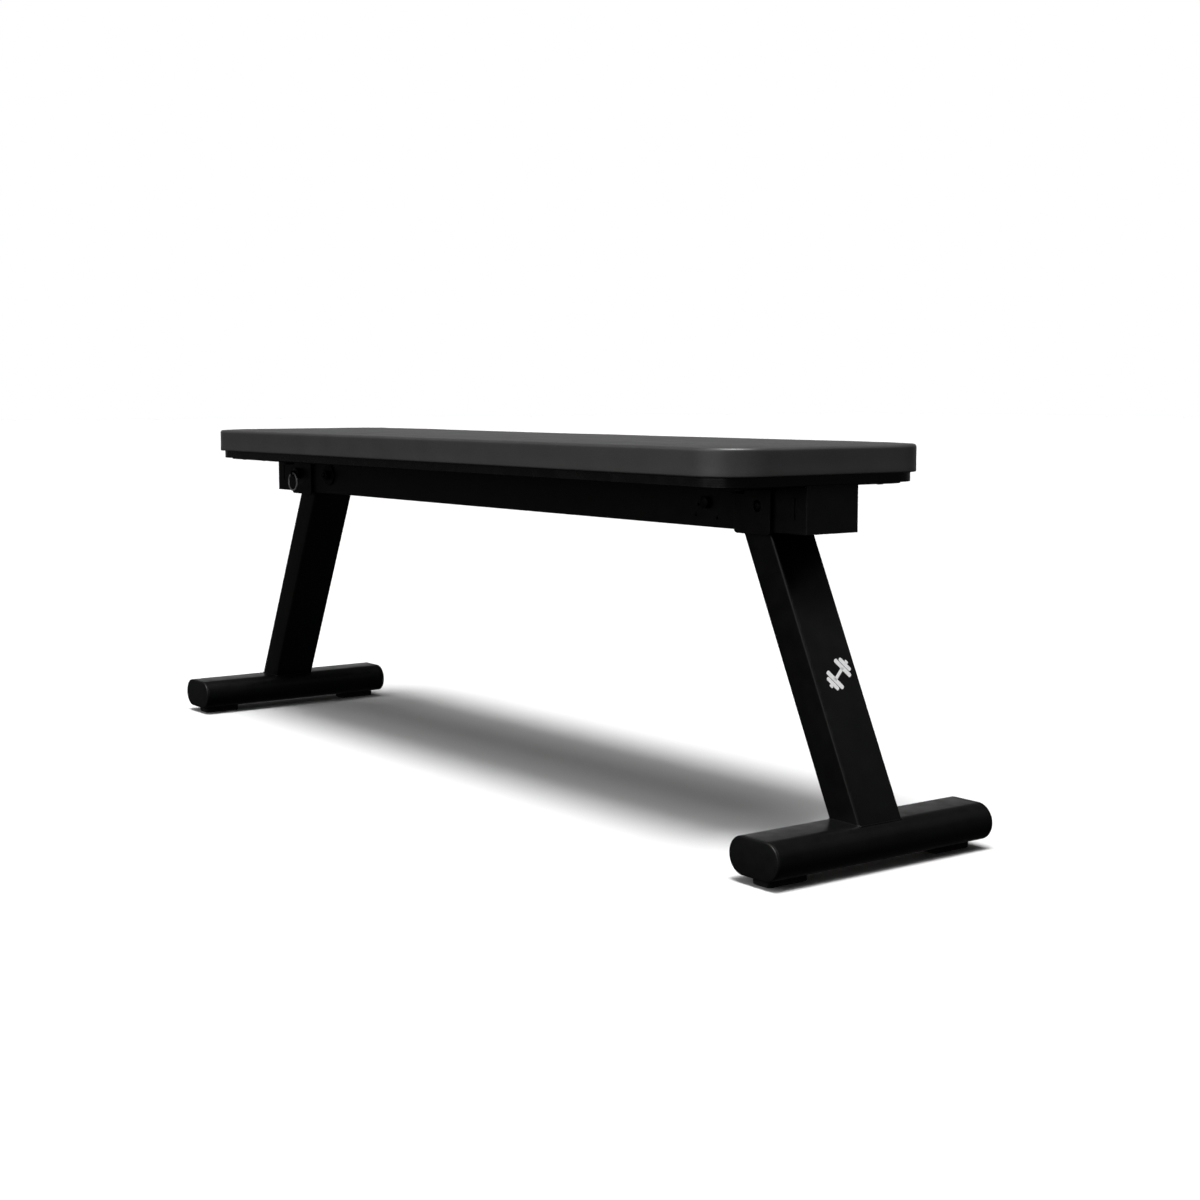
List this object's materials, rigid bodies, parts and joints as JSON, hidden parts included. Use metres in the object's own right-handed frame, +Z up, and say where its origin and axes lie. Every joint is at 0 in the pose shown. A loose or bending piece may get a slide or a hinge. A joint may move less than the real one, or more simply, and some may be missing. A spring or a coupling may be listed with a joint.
{
  "type": "flat weight bench",
  "caption": "Flat weight bench: a padded board on a steel channel, with splayed legs that fold in under the pad when their ring pins are drawn.",
  "frame": {"origin": "on the floor, under the middle of the bench", "axes": "+X along the pad's length, +Y across the pad, +Z up"},
  "size_m": [1.3436, 0.3056, 0.428],
  "materials": {
    "vinyl_cover": "satin",
    "black_board": "satin",
    "backing_cloth": "matte",
    "black_paint": "satin",
    "black_plastic": "satin",
    "black_rubber": "matte",
    "black_hardware": "satin",
    "zinc_hardware": "satin",
    "bright_steel": "polished"
  },
  "bodies": {
    "bench": {"pad_cushion": "vinyl_cover", "pad_board": "black_board", "pad_backing_sheet": "backing_cloth", "spine_channel": "black_paint", "right_channel_end_cap": "black_plastic", "right_pivot_bolt": "zinc_hardware", "right_pivot_washer": "black_hardware", "right_pivot_nut": "black_hardware", "right_side_bracket_a": "black_paint", "right_bracket_bolt_a": "zinc_hardware", "right_tee_nut_a": "zinc_hardware", "right_side_bracket_b": "black_paint", "right_bracket_bolt_b": "zinc_hardware", "right_tee_nut_b": "zinc_hardware", "left_channel_end_cap": "black_plastic", "left_pivot_bolt": "zinc_hardware", "left_pivot_washer": "black_hardware", "left_pivot_nut": "black_hardware", "left_side_bracket_a": "black_paint", "left_bracket_bolt_a": "zinc_hardware", "left_tee_nut_a": "zinc_hardware", "left_side_bracket_b": "black_paint", "left_bracket_bolt_b": "zinc_hardware", "left_tee_nut_b": "zinc_hardware"},
    "right_leg": {"right_leg_tube": "black_paint", "right_leg_ear_a": "black_paint", "right_leg_ear_b": "black_paint", "right_pivot_bush": "zinc_hardware", "right_foot_bar": "black_paint", "right_foot_cap_a": "black_plastic", "right_rubber_foot_a": "black_rubber", "right_foot_screw_a": "zinc_hardware", "right_foot_cap_b": "black_plastic", "right_rubber_foot_b": "black_rubber", "right_foot_screw_b": "zinc_hardware"},
    "right_lock": {"right_lock_pin": "zinc_hardware"},
    "right_ring": {"right_pull_ring": "bright_steel"},
    "left_leg": {"left_leg_tube": "black_paint", "left_leg_ear_a": "black_paint", "left_leg_ear_b": "black_paint", "left_pivot_bush": "zinc_hardware", "left_foot_bar": "black_paint", "left_foot_cap_a": "black_plastic", "left_rubber_foot_a": "black_rubber", "left_foot_screw_a": "zinc_hardware", "left_foot_cap_b": "black_plastic", "left_rubber_foot_b": "black_rubber", "left_foot_screw_b": "zinc_hardware"},
    "left_lock": {"left_lock_pin": "zinc_hardware"},
    "left_ring": {"left_pull_ring": "bright_steel"}
  },
  "joints": [
    {"name": "right_leg_fold", "type": "hinge", "parent": "bench", "child": "right_leg", "pos_m": [0.4233, 0, 0.3638], "axis": [0, 1, 0], "range_deg": [0, 112]},
    {"name": "right_lock_pull", "type": "slide", "parent": "bench", "child": "right_lock", "axis": [0, 1, 0], "range_m": [0, 0.082]},
    {"name": "right_ring_swing", "type": "hinge", "parent": "right_lock", "child": "right_ring", "pos_m": [0.5095, 0.0498, 0.3638], "axis": [1, 0, 0], "range_deg": [-5, 120]},
    {"name": "left_leg_fold", "type": "hinge", "parent": "bench", "child": "left_leg", "pos_m": [-0.4233, 0, 0.3638], "axis": [0, -1, 0], "range_deg": [0, 112]},
    {"name": "left_lock_pull", "type": "slide", "parent": "bench", "child": "left_lock", "axis": [0, -1, 0], "range_m": [0, 0.082]},
    {"name": "left_ring_swing", "type": "hinge", "parent": "left_lock", "child": "left_ring", "pos_m": [-0.5095, -0.0498, 0.3638], "axis": [-1, 0, 0], "range_deg": [-5, 120]}
  ]
}
